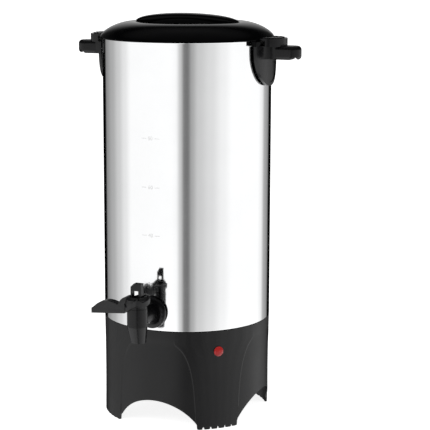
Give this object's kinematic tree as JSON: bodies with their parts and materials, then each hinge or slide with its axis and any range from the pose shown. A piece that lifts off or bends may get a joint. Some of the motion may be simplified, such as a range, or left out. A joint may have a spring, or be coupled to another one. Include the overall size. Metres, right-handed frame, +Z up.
{
  "type": "coffee urn",
  "caption": "Tall polished percolator urn on an arched base, with a domed twist-lock lid, side handles and a lever tap.",
  "frame": {"origin": "on the urn's axis, at the plane of the feet", "axes": "+Z up, -Y towards the tap, +X towards the right-hand handle"},
  "size_m": [0.328, 0.2985, 0.553],
  "materials": {
    "polished_steel": "mirror polished",
    "sheet_steel": "satin",
    "zinc_steel": "zinc plated",
    "base_plastic": "fine grain",
    "lid_plastic": "glossy",
    "handle_plastic": "satin",
    "silicone": "matte",
    "ceramic": "unglazed",
    "copper_wire": "insulated",
    "red_lens": "translucent",
    "lamp_glass": "clear"
  },
  "bodies": {
    "root": {"base_shell": "base_plastic", "bottom_cover": "base_plastic", "cover_screws": "zinc_steel", "tank": "polished_steel", "tank_nuts": "zinc_steel", "handle_right": "handle_plastic", "handle_left": "handle_plastic", "lid_catch_right": "handle_plastic", "lid_catch_left": "handle_plastic", "catch_screws": "zinc_steel", "handle_screws": "sheet_steel", "handle_washers": "sheet_steel", "tap_body": "handle_plastic", "tap_flange": "handle_plastic", "tap_washer_outer": "silicone", "tap_washer_inner": "silicone", "tap_nut": "handle_plastic", "tap_bonnet": "handle_plastic", "tap_spring": "zinc_steel", "pump_tube": "sheet_steel", "pump_base": "sheet_steel", "brew_basket": "sheet_steel", "basket_lid": "sheet_steel", "heating_element": "zinc_steel", "element_clamp": "zinc_steel", "stud_nuts": "zinc_steel", "heat_shield": "sheet_steel", "keep_warm_element": "zinc_steel", "keep_warm_clips": "zinc_steel", "thermostat": "ceramic", "thermal_cutout": "ceramic", "sensor_brackets": "zinc_steel", "terminal_block": "ceramic", "wiring": "copper_wire", "power_inlet": "handle_plastic", "inlet_pins": "zinc_steel", "inlet_screws": "zinc_steel", "indicator_lens": "red_lens", "indicator_lamp": "lamp_glass", "lamp_retainer": "zinc_steel"},
    "lid_seal": {"lid_seal": "silicone"},
    "lid": {"lid_shell": "lid_plastic"},
    "stem": {"tap_stem": "handle_plastic", "seat_cup": "silicone"},
    "lever": {"tap_lever": "handle_plastic"},
    "foot_valve": {"pump_valve": "sheet_steel"}
  },
  "joints": [
    {"name": "lid_lift", "type": "slide", "parent": "root", "child": "lid_seal", "axis": [0, 0, 1], "range_m": [0, 0.12]},
    {"name": "lid_turn", "type": "hinge", "parent": "lid_seal", "child": "lid", "pos_m": [0, 0, 0.52], "axis": [0, 0, 1], "range_deg": [0, 20]},
    {"name": "stem_lift", "type": "slide", "parent": "root", "child": "stem", "axis": [0, 0, 1], "range_m": [0, 0.00501], "deforming": ["tap_spring"]},
    {"name": "tap_turn", "type": "hinge", "parent": "stem", "child": "lever", "pos_m": [0, -0.163, 0.186], "axis": [0, 0, 1], "range_deg": [0, 45]},
    {"name": "pump_valve_lift", "type": "slide", "parent": "root", "child": "foot_valve", "axis": [0, 0, 1], "range_m": [0, 0.003]}
  ],
  "couplings": [
    {"joint": "stem_lift", "follows": "tap_turn", "m_per_rad": 0.0063662}
  ]
}
